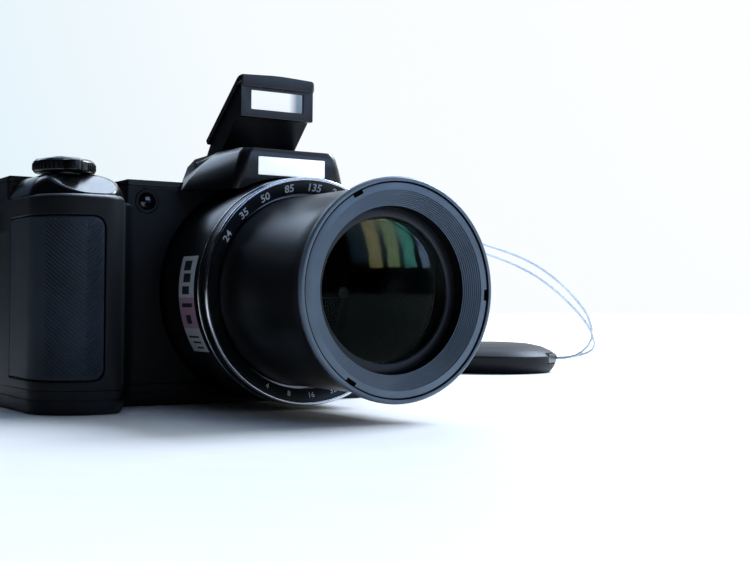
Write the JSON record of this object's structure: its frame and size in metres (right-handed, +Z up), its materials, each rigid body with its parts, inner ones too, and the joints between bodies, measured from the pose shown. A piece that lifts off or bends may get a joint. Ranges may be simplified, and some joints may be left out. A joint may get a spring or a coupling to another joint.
{
  "type": "bridge camera",
  "caption": "Bridge camera with a deep rubber grip, a retracting zoom lens run out, a hinged flash raised over the lens and a lens cap on a cord.",
  "frame": {"origin": "on the flat base that the camera stands on, straight under the lens axis and 24 mm behind the front panel", "axes": "+Z up, -Y along the lens axis towards the subject, +X towards the end away from the grip"},
  "size_m": [0.2744, 0.2139, 0.0936],
  "materials": {
    "shell_plastic": "satin black",
    "gloss_plastic": "gloss black",
    "grip_rubber": "ribbed matte black",
    "bright_ring": "polished",
    "black_metal": "satin black",
    "steel": "plain",
    "brass": "turned",
    "aluminium": "plain",
    "lens_glass": "coated",
    "clear_plastic": "clear",
    "flash_plastic": "milky clear",
    "mirror": "polished",
    "nylon": "plain",
    "board": "solder mask",
    "cell_jacket": "sleeved",
    "red_key": "gloss",
    "cord": "braided black"
  },
  "bodies": {
    "camera_body": {"front_cover": "shell_plastic", "rear_cover": "shell_plastic", "top_cover": "shell_plastic", "bottom_cover": "shell_plastic", "control_deck": "gloss_plastic", "grip_pad": "grip_rubber", "lens_collar": "gloss_plastic", "trim_rings": "bright_ring", "name_ring": "black_metal", "guide_tube": "aluminium", "zoom_motor": "steel", "guide_rods": "steel", "chassis": "aluminium", "sensor_board": "board", "main_board": "board", "flash_capacitor": "cell_jacket", "flash_pin": "steel", "key_board": "board", "lcd_panel": "gloss_plastic", "lcd_window": "clear_plastic", "lamp_window": "clear_plastic", "battery_box": "shell_plastic", "battery_cells": "cell_jacket", "connector_sockets": "steel", "strap_lugs": "steel", "tripod_socket": "brass", "case_screws": "steel", "lens_cap": "shell_plastic", "tether_crimp": "steel", "tether_cord": "cord"},
    "barrel": {"lens_barrel": "shell_plastic", "front_bezel": "black_metal", "element_cell": "black_metal", "front_element": "lens_glass", "element_retainer": "black_metal"},
    "drive": {"drive_ring": "nylon"},
    "pinion": {"zoom_pinion": "nylon"},
    "zoom_group": {"zoom_carriage": "shell_plastic", "zoom_lens": "lens_glass", "aperture_unit": "shell_plastic"},
    "focus_group": {"focus_carriage": "shell_plastic", "focus_lens": "lens_glass"},
    "flash": {"flash_cover": "shell_plastic", "flash_housing": "shell_plastic", "flash_window": "flash_plastic", "flash_reflector": "mirror"},
    "shutter": {"shutter_button": "gloss_plastic"},
    "lever": {"zoom_lever": "gloss_plastic"},
    "power_key": {"power_button": "gloss_plastic"},
    "record_key": {"record_button": "red_key"},
    "playback_key": {"playback_button": "gloss_plastic"},
    "scene_key": {"scene_button": "gloss_plastic"},
    "menu_key": {"menu_button": "gloss_plastic"},
    "delete_key": {"delete_button": "gloss_plastic"},
    "selector": {"selector_pad": "gloss_plastic"},
    "ok_key": {"ok_button": "gloss_plastic"},
    "door": {"battery_door": "shell_plastic"},
    "flap": {"connector_door": "grip_rubber"},
    "tab_left": {"cap_tab_left": "shell_plastic"},
    "tab_right": {"cap_tab_right": "shell_plastic"}
  },
  "joints": [
    {"name": "lens_slide", "type": "slide", "parent": "camera_body", "child": "barrel", "axis": [0, -1, 0], "range_m": [-0.0407, 0.008]},
    {"name": "drive_turn", "type": "hinge", "parent": "camera_body", "child": "drive", "pos_m": [0, 0, 0.032], "axis": [0, 1, 0], "range_deg": [-118, 24]},
    {"name": "pinion_turn", "type": "hinge", "parent": "camera_body", "child": "pinion", "pos_m": [-0.03051, 0, 0.04623], "axis": [0, 1, 0], "range_deg": [-172, 866]},
    {"name": "zoom_group_slide", "type": "slide", "parent": "camera_body", "child": "zoom_group", "axis": [0, -1, 0], "range_m": [-0.0246, 0.005]},
    {"name": "focus_slide", "type": "slide", "parent": "camera_body", "child": "focus_group", "axis": [0, -1, 0], "range_m": [-0.0015, 0.0015]},
    {"name": "flash_hinge", "type": "hinge", "parent": "camera_body", "child": "flash", "pos_m": [0, -0.008, 0.0695], "axis": [1, 0, 0], "range_deg": [0, 32]},
    {"name": "shutter_press", "type": "slide", "parent": "camera_body", "child": "shutter", "axis": [0, 0, -1], "range_m": [0, 0.0012], "stiffness_N_per_m": 300},
    {"name": "zoom_lever_turn", "type": "hinge", "parent": "camera_body", "child": "lever", "pos_m": [-0.0606, -0.0294, 0.06], "axis": [0, 0, 1], "range_deg": [-22, 22], "stiffness_Nm_per_rad": 0.03},
    {"name": "power_press", "type": "slide", "parent": "camera_body", "child": "power_key", "axis": [0, 0, -1], "range_m": [0, 0.0006], "stiffness_N_per_m": 300},
    {"name": "record_press", "type": "slide", "parent": "camera_body", "child": "record_key", "axis": [0, -1, 0], "range_m": [0, 0.0006], "stiffness_N_per_m": 300},
    {"name": "playback_press", "type": "slide", "parent": "camera_body", "child": "playback_key", "axis": [0, -1, 0], "range_m": [0, 0.0006], "stiffness_N_per_m": 300},
    {"name": "scene_press", "type": "slide", "parent": "camera_body", "child": "scene_key", "axis": [0, -1, 0], "range_m": [0, 0.0006], "stiffness_N_per_m": 300},
    {"name": "menu_press", "type": "slide", "parent": "camera_body", "child": "menu_key", "axis": [0, -1, 0], "range_m": [0, 0.0006], "stiffness_N_per_m": 300},
    {"name": "delete_press", "type": "slide", "parent": "camera_body", "child": "delete_key", "axis": [0, -1, 0], "range_m": [0, 0.0006], "stiffness_N_per_m": 300},
    {"name": "selector_press", "type": "slide", "parent": "camera_body", "child": "selector", "axis": [0, -1, 0], "range_m": [0, 0.0006], "stiffness_N_per_m": 300},
    {"name": "ok_press", "type": "slide", "parent": "camera_body", "child": "ok_key", "axis": [0, -1, 0], "range_m": [0, 0.0006], "stiffness_N_per_m": 300},
    {"name": "battery_door_hinge", "type": "hinge", "parent": "camera_body", "child": "door", "pos_m": [-0.03525, -0.0019, 0.00145], "axis": [0, -1, 0], "range_deg": [0, 95]},
    {"name": "connector_flap_hinge", "type": "hinge", "parent": "camera_body", "child": "flap", "pos_m": [0.0394, 0.0165, 0.028], "axis": [0, 0, 1], "range_deg": [0, 90]},
    {"name": "cap_tab_left_press", "type": "slide", "parent": "camera_body", "child": "tab_left", "axis": [0.5592, -0.829, 0], "range_m": [0, 0.0015], "stiffness_N_per_m": 300},
    {"name": "cap_tab_right_press", "type": "slide", "parent": "camera_body", "child": "tab_right", "axis": [-0.5592, 0.829, 0], "range_m": [0, 0.0015], "stiffness_N_per_m": 300}
  ],
  "couplings": [
    {"joint": "drive_turn", "follows": "lens_slide", "rad_per_m": 50},
    {"joint": "pinion_turn", "follows": "lens_slide", "rad_per_m": -370},
    {"joint": "zoom_group_slide", "follows": "lens_slide", "ratio": 0.6}
  ]
}
